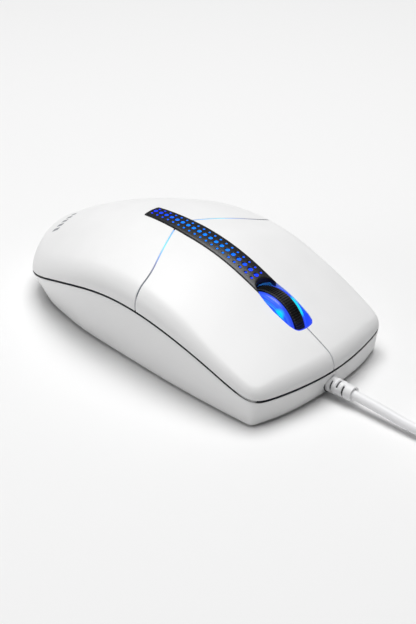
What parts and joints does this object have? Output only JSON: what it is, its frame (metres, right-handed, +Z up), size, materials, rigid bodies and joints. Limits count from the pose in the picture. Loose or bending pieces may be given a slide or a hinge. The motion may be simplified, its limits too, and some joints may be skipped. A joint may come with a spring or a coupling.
{
  "type": "computer mouse",
  "caption": "Corded computer mouse with buttons split from a palm cover, a lit ribbed wheel, a perforated lit spine strip and a coiled cord with a plug.",
  "frame": {"origin": "on the desk surface, at the centre of the mouse body's footprint, under its feet", "axes": "+Z up; +Y forwards, towards the cord; +X to the user's right"},
  "size_m": [0.0885, 0.1942, 0.0358],
  "materials": {
    "white_shell": "satin",
    "black_strip": "satin",
    "blue_acrylic": "translucent, lit blue",
    "wheel_acrylic": "translucent, lit blue",
    "wheel_rubber": "ribbed",
    "grey_plastic": "moulded",
    "board": "solder mask",
    "black_plastic": "moulded",
    "plunger": "moulded",
    "lamp": "clear blue lens",
    "sensor_lamp": "clear red lens",
    "clear_lens": "polished",
    "capacitor_sleeve": "sleeve",
    "bright_metal": "plated",
    "screw_steel": "plated",
    "glide": "low-friction sheet",
    "cord_white": "satin vinyl",
    "tie": "twist tie",
    "plug_plastic": "moulded",
    "gold": "plated"
  },
  "bodies": {
    "housing": {"base_shell": "white_shell", "palm_cover": "white_shell", "spine_strip": "black_strip", "spine_light_guide": "blue_acrylic", "left_seam_guide": "blue_acrylic", "right_seam_guide": "blue_acrylic", "main_board": "board", "left_switch": "black_plastic", "right_switch": "black_plastic", "middle_switch": "black_plastic", "encoder_emitter": "black_plastic", "encoder_sensor": "black_plastic", "wheel_light": "lamp", "spine_light": "lamp", "sensor_light": "sensor_lamp", "optical_sensor": "black_plastic", "sensor_lens": "clear_lens", "controller_chip": "black_plastic", "capacitor": "capacitor_sleeve", "crystal": "bright_metal", "lead_connector": "grey_plastic", "board_screws": "screw_steel", "case_screws": "screw_steel", "front_left_foot": "glide", "front_right_foot": "glide", "rear_left_foot": "glide", "rear_right_foot": "glide", "strain_relief": "cord_white", "cord_lead": "cord_white", "cord_tail": "cord_white", "cord_coil": "cord_white", "coil_tie": "tie", "plug_overmould": "cord_white", "plug_shell": "bright_metal", "plug_tongue": "plug_plastic", "plug_contacts": "gold"},
    "right_key": {"right_button": "white_shell"},
    "left_key": {"left_button": "white_shell"},
    "wheel_carriage": {"wheel_cradle": "grey_plastic"},
    "wheel": {"wheel_core": "wheel_acrylic", "wheel_tyre": "wheel_rubber"},
    "right_pin": {"right_plunger": "plunger"},
    "left_pin": {"left_plunger": "plunger"},
    "middle_pin": {"middle_plunger": "plunger"}
  },
  "joints": [
    {"name": "right_click", "type": "hinge", "parent": "housing", "child": "right_key", "pos_m": [0, -0.004, 0.027], "axis": [-1, 0, 0], "range_deg": [0, 0.5], "stiffness_Nm_per_rad": 1, "springref_deg": -1.72},
    {"name": "left_click", "type": "hinge", "parent": "housing", "child": "left_key", "pos_m": [0, -0.004, 0.027], "axis": [-1, 0, 0], "range_deg": [0, 0.5], "stiffness_Nm_per_rad": 1, "springref_deg": -1.72},
    {"name": "wheel_press", "type": "hinge", "parent": "housing", "child": "wheel_carriage", "pos_m": [0, 0.0175, 0.013], "axis": [-1, 0, 0], "range_deg": [0, 1.6], "stiffness_Nm_per_rad": 0.6, "springref_deg": -1.72},
    {"name": "wheel_spin", "type": "hinge", "parent": "wheel_carriage", "child": "wheel", "pos_m": [0, 0.03505, 0.01495], "axis": [1, 0, 0], "continuous": true},
    {"name": "right_switch_travel", "type": "slide", "parent": "housing", "child": "right_pin", "axis": [0, 0, -1], "range_m": [0, 0.0004]},
    {"name": "left_switch_travel", "type": "slide", "parent": "housing", "child": "left_pin", "axis": [0, 0, -1], "range_m": [0, 0.0004]},
    {"name": "middle_switch_travel", "type": "slide", "parent": "housing", "child": "middle_pin", "axis": [0, 0, -1], "range_m": [0, 0.0006]}
  ],
  "couplings": [
    {"joint": "right_switch_travel", "follows": "right_click", "m_per_rad": 0.045},
    {"joint": "left_switch_travel", "follows": "left_click", "m_per_rad": 0.045},
    {"joint": "middle_switch_travel", "follows": "wheel_press", "m_per_rad": 0.021}
  ]
}
